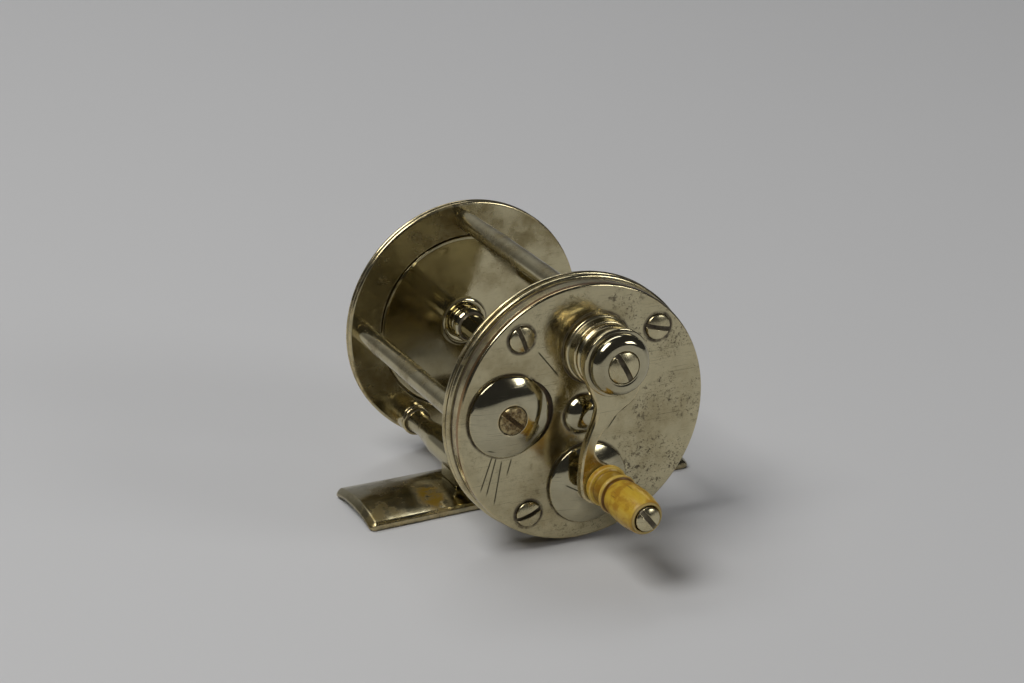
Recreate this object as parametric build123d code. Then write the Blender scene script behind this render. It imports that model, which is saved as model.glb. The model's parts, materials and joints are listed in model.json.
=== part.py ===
"""Small multiplying fishing reel: open pillar frame, geared crank, click and drag slides.

Millimetres.  +Z is up.  The origin is the middle of the flat strip under the foot.
The shapes are drawn with the spool axis along Y through x = z = 0 and the front face
of the head plate at y = 0, then everything is moved once, by SHIFT, as it is written.
"""
import math
import os

from build123d import *

os.makedirs("parts", exist_ok=True)

# ---- driving dimensions -------------------------------------------------------------
FACE_R = 25.0            # plain band of the head
BEAD_R = 25.58           # bead rings of the head
FACE_T = 1.2             # face plate thickness
HEAD_Y = 6.4             # back of the gear housing
CAVITY_Y = 4.4           # floor of the gear cavity
RECESS_Y = 5.2           # floor of the head flange recess
TAIL_Y = 51.76           # inner face of the tail plate
TAIL_T = 2.0             # tail plate thickness
TAIL_R = 24.9            # tail plate radius
CAVITY_R = 24.0          # inner radius of the gear housing
RECESS_R = 18.2          # flange recess in head and tail
FLANGE_R = 17.8          # spool flange radius
SHAFT_R = 1.2            # spool shaft
RUN = 0.05               # running clearance on a radius

PILLAR_RHO = 21.6        # pillar circle
PILLAR_R = 2.0
PLAIN_PILLARS = {"pillar_top": 90.0, "pillar_left": 177.0, "pillar_right": 3.0}
FOOT_PILLARS = {"foot_pillar_left": -125.5, "foot_pillar_right": -54.5}
TENON_R = 1.2
TENON_L = 1.6

CRANK_X, CRANK_Z = 2.58, 12.58          # crank axis on the face
KNOB_X, KNOB_Z = 0.48, -10.93           # knob axis on the face
CRANK_SHAFT_R = 1.6
GEAR_TEETH, PINION_TEETH = 52, 13
PRESSURE = math.radians(25.0)
BACKLASH = 0.05

FACE_SCREWS = [(-12.45, 16.72, -68.0), (15.25, 14.52, -16.0), (-11.08, -18.0, 19.0)]

CLICK_DIR = (-0.9888, 0.1489)           # outward direction of the click slide
CLICK_RHO = 15.45                       # click button at rest, slid outward
DRAG_DIR = (0.0632, -0.9980)            # outward direction of the drag slide
DRAG_RHO = 13.85                        # drag button at rest, fully inward
HOME_RHO = 13.2                         # middle of the shallow round recesses
TRAVEL = 1.6

FOOT_MID = 29.1                         # middle of the foot along the spool axis
FOOT_L, FOOT_W, FOOT_END_W = 68.2, 17.6, 18.2
FOOT_TOP, FOOT_T, FOOT_SAG = -22.9, 1.6, 1.3
STRIP_W = 5.0                           # flat strip under the foot
SHIFT = (0.0, -FOOT_MID, -(FOOT_TOP - FOOT_T))


# ---- helpers ------------------------------------------------------------------------
def cyl(r, y0, y1, x=0.0, z=0.0):
    """Solid round bar along Y between y0 and y1."""
    bar = Cylinder(r, abs(y1 - y0), align=(Align.CENTER, Align.CENTER, Align.MIN))
    return Pos(x, min(y0, y1), z) * Rot(-90, 0, 0) * bar


def turned(steps, x=0.0, z=0.0):
    """Piece turned about Y from (radius, y) points; a four-number step is an arc."""
    edges = []
    here = steps[0]
    for step in steps[1:]:
        end = (step[-2], step[-1])
        if len(step) == 4:
            edges.append(ThreePointArc(here, (step[0], step[1]), end))
        else:
            edges.append(Line(here, end))
        here = end
    if math.dist(here, steps[0]) > 1e-6:
        edges.append(Line(here, steps[0]))
    return Pos(x, 0, z) * revolve(make_face(Wire(edges)), Axis.Y, 360)


def plate(sketch, y_front, thickness):
    """Flat sketch drawn in (x, z), standing with its front at y_front."""
    plane = Plane(origin=(0, y_front + thickness, 0), x_dir=(1, 0, 0), z_dir=(0, -1, 0))
    return extrude(plane * sketch, thickness)


def bar_box(x, y0, y1, z, length, width, angle):
    """Rectangular block from y0 to y1, its length turned by angle in the (x, z) plane."""
    block = Box(length, y1 - y0, width)
    return Pos(x, (y0 + y1) / 2, z) * Rot(0, -angle, 0) * block


def slot_cut(x, z, y_top, depth, length, width, angle):
    """Screwdriver slot open towards -Y."""
    return bar_box(x, y_top - 1.0, y_top + depth, z, length, width, angle)


def dome_screw(x, z, y_seat, r, edge, rise, shank_r, shank_y, angle, slot=0.7):
    """Round-headed screw facing -Y, head seat at y_seat, shank running to shank_y."""
    top = y_seat - edge - rise
    mid_r = r * 0.62
    mid_y = y_seat - edge - rise * 0.63
    screw = turned([(0, shank_y), (shank_r, shank_y), (shank_r, y_seat), (r, y_seat),
                    (r, y_seat - edge), (mid_r, mid_y, 0, top)], x, z)
    return screw - slot_cut(x, z, top, slot + rise * 0.3, 2.2 * r, 0.2 * r + 0.12, angle)


def gear_outline(teeth, module, turn=0.0, thin=0.0):
    """Closed point ring of a full-depth involute gear, one tooth centred on `turn`."""
    pitch_r = module * teeth / 2
    base_r = pitch_r * math.cos(PRESSURE)
    tip_r = pitch_r + module
    root_r = pitch_r - 1.2 * module
    inv = math.tan(PRESSURE) - PRESSURE
    half = math.pi / (2 * teeth) - thin / (2 * pitch_r) + inv
    flank = []
    for i in range(4):
        r = max(base_r, root_r) + (tip_r - max(base_r, root_r)) * i / 3
        a = math.acos(min(1.0, base_r / r))
        flank.append((r, half - (math.tan(a) - a)))
    if root_r < base_r:
        flank.insert(0, (root_r, half + 0.01))
    ring = []
    for k in range(teeth):
        mid = turn + 2 * math.pi * k / teeth
        for r, a in flank:
            ring.append((r * math.cos(mid - a), r * math.sin(mid - a)))
        for r, a in reversed(flank):
            ring.append((r * math.cos(mid + a), r * math.sin(mid + a)))
    return ring


def outline_plate(points, y_front, thickness, x=0.0, z=0.0):
    """Plate whose (x, z) outline is the closed ring of points."""
    face = make_face(Polyline(*points, close=True))
    return Pos(x, 0, z) * plate(face, y_front, thickness)


def at(direction, rho, side=0.0):
    """Point in (x, z) at rho along a radial direction and `side` across it."""
    return (direction[0] * rho - direction[1] * side, direction[1] * rho + direction[0] * side)


def polar(rho, degrees):
    """Point in (x, z) at a radius and an angle measured from +X towards +Z."""
    a = math.radians(degrees)
    return (rho * math.cos(a), rho * math.sin(a))


def angle_of(direction):
    """Angle in degrees of a direction in (x, z)."""
    return math.degrees(math.atan2(direction[1], direction[0]))


pieces = {}

# ---- head: gear housing -------------------------------------------------------------
housing = turned([
    (0, FACE_T), (FACE_R, FACE_T), (FACE_R, 2.9), (24.75, 3.0), (24.75, 3.6),
    (25.1, 3.7), (BEAD_R, 4.25, 25.1, 4.8), (24.9, 4.85), (24.9, 5.35),
    (25.1, 5.4), (BEAD_R, 5.9, 25.1, HEAD_Y), (0, HEAD_Y)])
cavity = cyl(CAVITY_R, FACE_T - 1, CAVITY_Y)
for sx, sz, turn in FACE_SCREWS:
    cavity -= cyl(1.8, FACE_T - 1, CAVITY_Y, sx, sz)
    rho = math.hypot(sx, sz)
    cavity -= bar_box(sx * 23.0 / rho, FACE_T - 1, CAVITY_Y, sz * 23.0 / rho, 4.0, 2.6,
                      math.degrees(math.atan2(sz, sx)))
housing -= cavity
housing -= cyl(RECESS_R, RECESS_Y, HEAD_Y + 1)
housing -= cyl(2.2, 0, HEAD_Y)
housing -= cyl(1.05, CAVITY_Y - 0.2, 5.05, CRANK_X, CRANK_Z)
for sx, sz, turn in FACE_SCREWS:
    housing -= cyl(0.9, 0, 4.2, sx, sz)
for angle in list(PLAIN_PILLARS.values()) + list(FOOT_PILLARS.values()):
    px, pz = polar(PILLAR_RHO, angle)
    housing -= cyl(TENON_R, HEAD_Y - TENON_L, HEAD_Y + 1, px, pz)
pieces["gear_housing"] = housing

# ---- head: face plate ---------------------------------------------------------------
face = turned([(0, 0), (24.62, 0), (24.9, 0.16, FACE_R, 0.6), (FACE_R, FACE_T), (0, FACE_T)])
face -= cyl(2.02, -1, 2)
face -= cyl(2.62, -1, 2, CRANK_X, CRANK_Z)
for sx, sz, turn in FACE_SCREWS:
    face -= turned([(0, -0.5), (2.5, -0.5), (2.5, 0.3), (0.9, 0.9), (0.9, 2), (0, 2)], sx, sz)
for direction in (CLICK_DIR, DRAG_DIR):
    rx, rz = at(direction, HOME_RHO)
    face -= cyl(7.05, -1, 0.6, rx, rz)
    mid = (CLICK_RHO + DRAG_RHO) / 2
    mx, mz = at(direction, mid)
    face -= bar_box(mx, -1, 2, mz, 4.6 + TRAVEL + 0.2, 3.2, angle_of(direction))
pieces["face_plate"] = face

# Three face screws: cone seats, domed heads standing a little proud.
screws = None
for sx, sz, turn in FACE_SCREWS:
    screw = turned([(0, 4.0), (0.9, 4.0), (0.9, 0.9), (2.5, 0.3), (2.5, -0.35),
                    (1.6, -0.75, 0, -0.9)], sx, sz)
    screw -= slot_cut(sx, sz, -0.9, 0.85, 6.0, 0.62, turn)
    screws = screw if screws is None else screws + screw
pieces["face_screws"] = screws

# ---- bearings of the spool shaft ----------------------------------------------------
pieces["housing_bush"] = cyl(2.2, CAVITY_Y, RECESS_Y) - cyl(SHAFT_R + RUN, 0, HEAD_Y)
cap = turned([(0, FACE_T), (2.0, FACE_T), (2.0, 0), (3.75, 0), (3.75, -0.5),
              (2.9, -1.6, 1.2, -2.2), (0, -2.25)])
pieces["head_bearing_cap"] = cap - cyl(SHAFT_R + RUN, -1.2, 2)

# ---- tail plate ---------------------------------------------------------------------
T0, T1 = TAIL_Y, TAIL_Y + TAIL_T
tail = turned([(0, T0), (24.5, T0), (TAIL_R, T0 + 0.45, 24.55, T0 + 0.9), (24.55, T0 + 1.1),
               (TAIL_R, T0 + 1.55, 24.5, T1), (0, T1)])
tail -= cyl(RECESS_R, T0 - 1, T0 + 1.1)
tail -= cyl(2.4, T0 - 1, T1 + 1)
all_pillars = list(PLAIN_PILLARS.values()) + list(FOOT_PILLARS.values())
for angle in all_pillars:
    px, pz = polar(PILLAR_RHO, angle)
    tail -= cyl(0.9, T0 - 1, T1 + 1, px, pz)
pieces["tail_plate"] = tail

bush = turned([(SHAFT_R + RUN, T0 + 1.14), (2.4, T0 + 1.14), (2.4, T1 + 1.6),
               (SHAFT_R + RUN, T1 + 1.6)])
pieces["tail_bearing_bush"] = bush
cap = turned([(0, T1), (5.4, T1), (5.4, T1 + 0.6), (4.7, T1 + 1.7, 2.6, T1 + 2.3),
              (0, T1 + 2.4)])
pieces["tail_bearing_cap"] = cap - cyl(2.4, T1 - 1, T1 + 1.6)

screws = None
for angle in all_pillars:
    px, pz = polar(PILLAR_RHO, angle)
    screw = turned([(0, T0 - 3.4), (0.9, T0 - 3.4), (0.9, T1), (2.1, T1), (2.1, T1 + 0.35),
                    (1.35, T1 + 0.85, 0, T1 + 1.05)], px, pz)
    screw -= bar_box(px, T1 + 0.45, T1 + 2, pz, 5.0, 0.5, angle + 35)
    screws = screw if screws is None else screws + screw
pieces["tail_pillar_screws"] = screws

# ---- plain pillars ------------------------------------------------------------------
for name, angle in PLAIN_PILLARS.items():
    px, pz = polar(PILLAR_RHO, angle)
    bar = turned([(0, HEAD_Y - TENON_L + 0.05), (TENON_R, HEAD_Y - TENON_L + 0.05),
                  (TENON_R, HEAD_Y), (PILLAR_R, HEAD_Y), (PILLAR_R, T0), (0, T0)], px, pz)
    pieces[name] = bar - cyl(0.9, T0 - 3.6, T0 + 1, px, pz)

# ---- foot ---------------------------------------------------------------------------
half_w = FOOT_W / 2
bottom = FOOT_TOP - FOOT_T
strip = STRIP_W / 2
top_arc = ThreePointArc((-half_w, FOOT_TOP - FOOT_SAG), (0, FOOT_TOP), (half_w, FOOT_TOP - FOOT_SAG))
# The two lower arcs run from the flat strip to the long edges.
drop = FOOT_SAG * ((half_w + strip) / 2 / half_w) ** 2
right_arc = ThreePointArc((strip, bottom), ((half_w + strip) / 2, bottom - drop * 0.88),
                          (half_w, bottom - FOOT_SAG))
left_arc = ThreePointArc((-strip, bottom), (-(half_w + strip) / 2, bottom - drop * 0.88),
                         (-half_w, bottom - FOOT_SAG))
section = Wire([top_arc, Line((half_w, FOOT_TOP - FOOT_SAG), (half_w, bottom - FOOT_SAG)),
                right_arc, Line((strip, bottom), (-strip, bottom)), left_arc,
                Line((-half_w, bottom - FOOT_SAG), (-half_w, FOOT_TOP - FOOT_SAG))])
foot_plane = Plane(origin=(-FOOT_L / 2, FOOT_MID, 0), x_dir=(0, 1, 0), z_dir=(1, 0, 0))
foot = extrude(foot_plane * make_face(section), FOOT_L)
end_w = FOOT_END_W / 2
outline = make_face(Wire([
    ThreePointArc((-FOOT_L / 2, end_w), (0, half_w), (FOOT_L / 2, end_w)),
    Line((FOOT_L / 2, end_w), (FOOT_L / 2, -end_w)),
    ThreePointArc((FOOT_L / 2, -end_w), (0, -half_w), (-FOOT_L / 2, -end_w)),
    Line((-FOOT_L / 2, -end_w), (-FOOT_L / 2, end_w))]))
outline = fillet(outline.vertices(), 1.1)
foot = foot & (Pos(0, FOOT_MID, bottom - 4) * extrude(outline, 8))
# Both ends are bevelled on top.
for side in (-1, 1):
    wedge = Box(6, FOOT_W + 4, 3, align=(Align.CENTER, Align.CENTER, Align.MIN))
    foot -= Pos(side * (FOOT_L / 2 - 0.4), FOOT_MID, FOOT_TOP - 0.5) * Rot(0, side * 40, 0) * wedge
screw_x = abs(polar(PILLAR_RHO, -125.5)[0])
solid_foot = foot
for side in (-1, 1):
    hole = Cylinder(0.8, 12)
    sink = Cone(2.1, 0.8, 1.1, align=(Align.CENTER, Align.CENTER, Align.MIN))
    foot -= Pos(side * screw_x, FOOT_MID, FOOT_TOP) * hole
    foot -= Pos(side * screw_x, FOOT_MID, bottom - 0.01) * sink
pieces["reel_foot"] = foot

screws = None
for side in (-1, 1):
    head = Cone(2.0, 0.8, 1.0, align=(Align.CENTER, Align.CENTER, Align.MIN))
    shank = Cylinder(0.8, 3.4, align=(Align.CENTER, Align.CENTER, Align.MIN))
    slot = Box(5, 0.5, 1.0)
    screw = head + shank - Rot(0, 0, 30 * side) * slot
    screw = Pos(side * screw_x, FOOT_MID, bottom + 0.05) * screw
    screws = screw if screws is None else screws + screw
pieces["foot_screws"] = screws

# ---- foot pillars: collars, waists, swelled middle and a lug down to the foot ---------
for name, angle in FOOT_PILLARS.items():
    px, pz = polar(PILLAR_RHO, angle)
    m = FOOT_MID
    bar = turned([
        (0, HEAD_Y - TENON_L + 0.05), (TENON_R, HEAD_Y - TENON_L + 0.05), (TENON_R, HEAD_Y),
        (3.0, HEAD_Y), (3.0, 9.9), (2.8, 10.0), (2.8, 10.2), (3.05, 10.6, 2.8, 11.0),
        (2.35, 11.0), (2.15, 12.6, 2.05, 15.2), (2.5, 18.9, 2.95, 22.0), (2.95, 36.2),
        (2.5, 39.3, 2.05, 43.0), (2.15, 45.6, 2.35, 47.16), (2.8, 47.16),
        (3.05, 47.56, 2.8, 47.96), (2.8, 48.16), (3.0, 48.26), (3.0, T0), (0, T0)], px, pz)
    lug = Pos(px, m, (pz + FOOT_TOP - 0.6) / 2) * Box(3.0, 7.0, pz - FOOT_TOP + 0.6)
    bar = bar + (lug - solid_foot)
    bar -= cyl(0.9, T0 - 3.6, T0 + 1, px, pz)
    bar -= Pos(px, m, FOOT_TOP) * Cylinder(0.8, 4.8)
    pieces[name] = bar

# ---- spool --------------------------------------------------------------------------
F0, F1 = 5.35, 6.3
G0, G1 = T0 + 0.1, T0 + 1.0
pieces["spool_shaft"] = turned([(0, -1.0), (SHAFT_R - 0.2, -1.0), (SHAFT_R, -0.8),
                                (SHAFT_R, T1 + 1.3), (SHAFT_R - 0.2, T1 + 1.5), (0, T1 + 1.5)])
pieces["spool_head_flange"] = turned([
    (SHAFT_R, F0), (FLANGE_R, F0), (FLANGE_R, F1 - 0.15), (FLANGE_R - 0.15, F1),
    (FLANGE_R - 0.8, F1), (FLANGE_R - 1.0, F1 - 0.12), (4.6, F1 - 0.12), (4.4, F1), (SHAFT_R, F1)])
pieces["spool_tail_flange"] = turned([
    (SHAFT_R, G1), (FLANGE_R, G1), (FLANGE_R, G0 + 0.15), (FLANGE_R - 0.15, G0),
    (FLANGE_R - 0.8, G0), (FLANGE_R - 1.0, G0 + 0.12), (4.6, G0 + 0.12), (4.4, G0), (SHAFT_R, G0)])
pieces["spool_arbor"] = turned([
    (SHAFT_R, F1), (3.0, F1), (3.0, F1 + 0.5), (2.6, F1 + 0.7), (3.45, F1 + 2.1, 2.6, F1 + 3.6),
    (2.6, G0 - 3.6), (3.45, G0 - 2.1, 2.6, G0 - 0.7), (3.0, G0 - 0.5), (3.0, G0), (SHAFT_R, G0)])

# Pinion on the spool shaft and the crank's main gear share one module.
centre = math.hypot(CRANK_X, CRANK_Z)
module = 2 * centre / (GEAR_TEETH + PINION_TEETH)
line = math.atan2(CRANK_Z, CRANK_X)
ring = gear_outline(PINION_TEETH, module, line, BACKLASH)
pinion = outline_plate(ring, 2.9, 1.3)
pieces["spool_pinion"] = pinion - cyl(SHAFT_R, 0, 6)
wheel_turn = line + math.pi + math.pi / GEAR_TEETH
ring = gear_outline(GEAR_TEETH, module, wheel_turn, BACKLASH)
gear = outline_plate(ring, 3.0, 1.1, CRANK_X, CRANK_Z) + cyl(3.0, 2.2, 3.0, CRANK_X, CRANK_Z)
for i in range(5):
    hx, hz = polar(6.2, 72 * i + 20)
    gear -= cyl(1.9, 0, 6, CRANK_X + hx, CRANK_Z + hz)
pieces["main_gear"] = gear - cyl(CRANK_SHAFT_R, 0, 6, CRANK_X, CRANK_Z)

# Click wheel: pointed teeth, with a plain drum in front of them for the drag shoe.
points = []
for i in range(16):
    points.append(polar(4.0, i * 22.5 + 3.3))
    points.append(polar(3.25, i * 22.5 + 14.55))
wheel = outline_plate(points, 2.15, 0.6) + cyl(3.1, 1.35, 2.15)
pieces["click_wheel"] = wheel - cyl(SHAFT_R, 0, 6)

# ---- crank --------------------------------------------------------------------------
collar = turned([(CRANK_SHAFT_R + RUN, 1.8), (2.6, 1.8), (2.6, 0), (6.65, 0), (6.65, -1.2),
                 (6.3, -1.5), (5.9, -2.4), (5.85, -2.9), (6.25, -3.2, 6.1, -3.6),
                 (CRANK_SHAFT_R + RUN, -3.6)], CRANK_X, CRANK_Z)
pieces["crank_collar"] = collar
pieces["crank_shaft"] = (turned([
    (0, 5.0), (1.0, 5.0), (1.0, 4.2), (CRANK_SHAFT_R, 4.2), (CRANK_SHAFT_R, -9.9), (0, -9.9)],
    CRANK_X, CRANK_Z) - cyl(0.9, -11, -6.5, CRANK_X, CRANK_Z))
pieces["crank_hub"] = turned([
    (CRANK_SHAFT_R, -3.75), (5.7, -3.75), (5.95, -4.0), (5.6, -4.7), (5.6, -5.2), (6.0, -5.6),
    (6.0, -5.9), (CRANK_SHAFT_R, -5.9)], CRANK_X, CRANK_Z)

# The arm sweeps in from a broad root to a narrow neck and a round eye.
left_edge = Spline((-3.0, 9.7), (-0.9, 5.0), (-1.7, 1.0), (-3.2, -2.8), (-4.05, -6.8), (-4.25, -9.6),
                   (-4.2, -11.0))
right_edge = Spline((3.6, -10.5), (1.2, -8.2), (-0.9, -6.2), (-1.4, -4.4), (-0.5, -2.1), (1.5, 0.7),
                    (3.6, 2.9), (6.2, 4.4), (8.2, 9.6))
web = make_face(Wire([left_edge, Line((-4.2, -11.0), (3.6, -10.5)), right_edge,
                      Line((8.2, 9.6), (-3.0, 9.7))]))
arm = plate(web, -7.9, 2.0)
arm += cyl(6.3, -7.9, -5.9, CRANK_X, CRANK_Z)
arm += cyl(3.95, -7.9, -5.9, -0.28, -11.0)
arm -= cyl(CRANK_SHAFT_R, -9, -5, CRANK_X, CRANK_Z)
arm -= cyl(1.2, -9, -5, KNOB_X, KNOB_Z)
pieces["crank_arm"] = arm

pieces["crank_cap"] = turned([
    (CRANK_SHAFT_R, -7.9), (6.5, -7.9), (6.5, -8.2), (6.1, -8.45), (5.75, -8.6), (5.75, -8.95),
    (4.9, -9.95, 3.15, -10.6), (3.15, -9.9), (CRANK_SHAFT_R, -9.9)], CRANK_X, CRANK_Z)
pieces["crank_screw"] = dome_screw(CRANK_X, CRANK_Z, -9.9, 3.1, 1.0, 0.9, 0.9, -6.7, -62.0)

# ---- knob ---------------------------------------------------------------------------
K0 = -8.05               # back of the knob
pieces["knob_spindle"] = (turned([
    (0, -5.3), (1.5, -5.3), (2.0, -5.6), (2.0, -5.9), (1.2, -5.9), (1.2, K0 - 16.6), (0, K0 - 16.6)],
    KNOB_X, KNOB_Z) - cyl(0.6, K0 - 17, K0 - 12, KNOB_X, KNOB_Z))
knob = turned([
    (1.2 + RUN, K0), (3.7, K0), (4.0, K0 - 0.7, 3.75, K0 - 1.6), (3.1, K0 - 2.0),
    (2.85, K0 - 2.6, 3.05, K0 - 3.3), (3.55, K0 - 3.8), (3.8, K0 - 4.7, 3.4, K0 - 5.6),
    (3.05, K0 - 6.1), (3.7, K0 - 10.8, 3.45, K0 - 15.4), (3.2, K0 - 16.3, 2.8, K0 - 16.5),
    (1.2 + RUN, K0 - 16.5)], KNOB_X, KNOB_Z)
pieces["knob"] = knob
pieces["knob_screw"] = dome_screw(KNOB_X, KNOB_Z, K0 - 16.6, 2.7, 0.5, 0.95, 0.6, K0 - 12.2, -52.0,
                                  slot=0.45)


# ---- click and drag slides ----------------------------------------------------------
def button(direction, rho):
    """Domed thumb button riding just above the face, with a seat for its screw."""
    bx, bz = at(direction, rho)
    disc = turned([
        (0, -0.1), (7.6, -0.1), (7.9, -0.35), (7.9, -0.75), (7.75, -0.95),
        (5.6, -1.85, 2.85, -2.45), (2.85, -1.9), (0, -1.9)], bx, bz)
    return disc - bar_box(bx, -1.3, 0.5, bz, 4.6, 3.0, angle_of(direction)) - cyl(
        0.8, -3, 1, bx, bz)


def stem(direction, rho, pin_rho=None):
    """Sliding block through the face slot with a keeper plate behind the face."""
    bx, bz = at(direction, rho)
    turn = angle_of(direction)
    block = bar_box(bx, -1.3, 1.25, bz, 4.6, 3.0, turn)
    block += bar_box(bx, 1.25, 1.75, bz, 10.0, 6.0, turn)
    block -= cyl(0.8, -3, 1.0, bx, bz)
    if pin_rho is not None:
        px, pz = at(direction, pin_rho)
        block += cyl(0.55, 1.75, 2.8, px, pz)
    return block


click_pin = 12.6
pieces["click_button"] = button(CLICK_DIR, CLICK_RHO)
pieces["click_stem"] = stem(CLICK_DIR, CLICK_RHO, click_pin)
cx, cz = at(CLICK_DIR, CLICK_RHO)
pieces["click_button_screw"] = dome_screw(cx, cz, -1.9, 2.8, 0.7, 0.7, 0.8, 0.9, -43.0, slot=0.45)
pieces["drag_button"] = button(DRAG_DIR, DRAG_RHO)
pieces["drag_stem"] = stem(DRAG_DIR, DRAG_RHO)
dx, dz = at(DRAG_DIR, DRAG_RHO)
pieces["drag_button_screw"] = dome_screw(dx, dz, -1.9, 2.8, 0.7, 0.7, 0.8, 0.9, 28.0, slot=0.45)

# Pawl: swings on the keeper's pin, tip pointing at the click wheel.
tip = click_pin - (4.15 + TRAVEL)
ring = [at(CLICK_DIR, click_pin, 1.0), at(CLICK_DIR, click_pin, -1.0),
        at(CLICK_DIR, click_pin - 4.2, -0.7), at(CLICK_DIR, click_pin - tip, 0.0),
        at(CLICK_DIR, click_pin - 4.2, 0.7)]
px, pz = at(CLICK_DIR, click_pin)
pawl = outline_plate(ring, 2.0, 0.7) + cyl(1.25, 2.0, 2.7, px, pz)
pieces["click_pawl"] = pawl - cyl(0.6, 1, 4, px, pz)

# Click spring: a bent leaf held on the keeper, one finger on each side of the pawl.
turn = angle_of(CLICK_DIR)
bx, bz = at(CLICK_DIR, click_pin + 3.4)
spring = bar_box(bx, 1.75, 2.7, bz, 0.9, 4.6, turn)
for side in (-1, 1):
    fx, fz = at(CLICK_DIR, click_pin + 0.9, side * 2.15)
    spring += bar_box(fx, 1.85, 2.7, fz, 5.9, 0.3, turn)
pieces["click_spring"] = spring

# Drag leaf: a strip from the keeper carrying a hollow-ended shoe beside the drum.
lx, lz = at(DRAG_DIR, 8.3)
leaf = bar_box(lx, 1.75, 2.05, lz, 7.6, 2.4, angle_of(DRAG_DIR))
shoe = cyl(4.9, 1.4, 2.05) - cyl(3.25, 1.0, 2.5)
sx, sz = at(DRAG_DIR, 4.6)
shoe = shoe & bar_box(sx, 1.0, 2.5, sz, 3.6, 4.6, angle_of(DRAG_DIR))
pieces["drag_leaf"] = (leaf - cyl(4.0, 1, 3)) + shoe

# ---- write one file per piece, moved to the foot's origin -----------------------------
for name, shape in pieces.items():
    export_step(Pos(*SHIFT) * shape, f"parts/{name}.step")
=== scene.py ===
"""Multiplying fishing reel: the looks of every piece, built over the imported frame.

Lengths inside the piece functions are millimetres in the reel's own frame: the spool axis
runs along Y through x = z = 0 and the face of the head plate stands at y = 0.  They are
moved and scaled once, in `solid`.
"""
import json
import math

import bpy
import numpy as np
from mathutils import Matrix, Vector
from mathutils.geometry import delaunay_2d_cdt, tessellate_polygon


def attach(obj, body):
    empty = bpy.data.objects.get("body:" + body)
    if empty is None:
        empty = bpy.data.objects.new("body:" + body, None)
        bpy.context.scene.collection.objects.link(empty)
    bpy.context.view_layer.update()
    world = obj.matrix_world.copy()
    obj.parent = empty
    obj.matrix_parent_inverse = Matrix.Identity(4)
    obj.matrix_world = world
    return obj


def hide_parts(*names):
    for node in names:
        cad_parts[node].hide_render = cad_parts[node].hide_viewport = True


bl_info = {
    "name": "Multiplying Reel",
    "version": (1, 0, 0),
    "blender": (4, 5, 0),
    "location": "View3D > Sidebar > Reel",
    "description": "Builds the pieces of a small geared fishing reel over its frame",
    "category": "Object",
}

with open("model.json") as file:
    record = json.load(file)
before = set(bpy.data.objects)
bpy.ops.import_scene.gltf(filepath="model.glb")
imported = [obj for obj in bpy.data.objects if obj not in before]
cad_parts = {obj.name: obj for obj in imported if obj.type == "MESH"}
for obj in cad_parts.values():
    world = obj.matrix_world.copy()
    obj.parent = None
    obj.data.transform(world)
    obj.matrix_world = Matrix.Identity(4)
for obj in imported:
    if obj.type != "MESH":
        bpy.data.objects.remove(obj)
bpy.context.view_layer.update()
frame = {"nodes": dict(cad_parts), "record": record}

SHIFT = np.array([0.0, -29.1, 24.5])
FRONT = ((1, 0, 0), (0, 0, 1), (0, -1, 0))
REAR = ((-1, 0, 0), (0, 0, 1), (0, 1, 0))
UNDER = ((1, 0, 0), (0, 1, 0), (0, 0, -1))

# Where the pieces stand, in the reel's own frame.  Places on the face are (x, z), and a screw's
# third number is the angle of its slot.  Pillars are given by their angle from +X towards +Z.
FACE_R, RECESS_R = 25.0, 7.05
HEAD_Y, TAIL_Y, TAIL_T = 6.4, 51.76, 2.0
PILLAR_RHO, TENON_Y = 21.6, 4.9
PLAIN_PILLARS = (("top", 90), ("left", 177), ("right", 3))
FOOT_PILLARS = (("left", -125.5), ("right", -54.5))
CRANK = (2.58, 12.58)
KNOB, KNOB_Y = (0.48, -10.93), -8.05
FACE_SCREWS = ((-12.45, 16.72, -68.0), (15.25, 14.52, -16.0), (-11.08, -18.0, 19.0))
CRANK_SCREW_TURN, KNOB_SCREW_TURN = -62.0, -52.0
CLICK, CLICK_TURN = (-15.28, 2.30), -43.0
DRAG, DRAG_TURN = (0.873, -13.822), 28.0
RECESSES = ((-13.05, 1.966), (0.834, -13.174))
FOOT_MID, FOOT_TOP, FOOT_T = 29.1, -22.9, 1.6
FOOT_L, FOOT_HALF, FOOT_END_HALF, FOOT_SAG = 68.2, 8.8, 9.1, 1.3

# Scratches on the face and on the buttons, and turned lines on the knob as (y, width, depth).
FACE_SCRATCHES = (
    ((-18.3, -5.0), (-20.9, -12.2)), ((-17.5, -5.3), (-19.7, -13.3)), ((-16.4, -6.1), (-18.1, -15.3)),
    ((-14.4, -6.0), (-15.6, -10.0)), ((-9.3, 13.9), (-4.6, 7.8)), ((10.8, 1.1), (7.2, -1.3)),
    ((7.2, -1.3), (4.8, -4.4)))
BUTTON_SCRATCHES = (((-4.6, -12.7), (-0.5, -15.1)), ((-20.1, -3.2), (-17.9, -3.9)))
KNOB_GROOVES = ((-11.1, 1.8, 0.6), (-13.93, 0.45, 1.0), (-24.55, 0.5, 1.0))

# Lamps: name, place, target, size, power and tint, in metres and watts.
LAMPS = (
    ("Left_soft_box", (-0.58, -0.10, 1.0), (0, 0, 0.02), (0.55, 0.6), 8.2, (1.0, 0.99, 0.97)),
    ("Right_soft_box", (0.78, -0.85, 0.52), (0, 0, 0.02), (0.42, 0.3), 2.6, (1.0, 1.0, 1.0)),
    ("Back_wash", (0.0, 1.0, 1.6), (0, 1.5, 0.0), (1.6, 0.6), 10.5, (0.98, 0.99, 1.0)),
)
FLOOR_Z = -0.00131
CAMERA_PLACE, CAMERA_AIM, CAMERA_LENS = (-0.2041, -0.4254, 0.2157), (0.4013, 0.8382, -0.3692), 93.02


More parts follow.
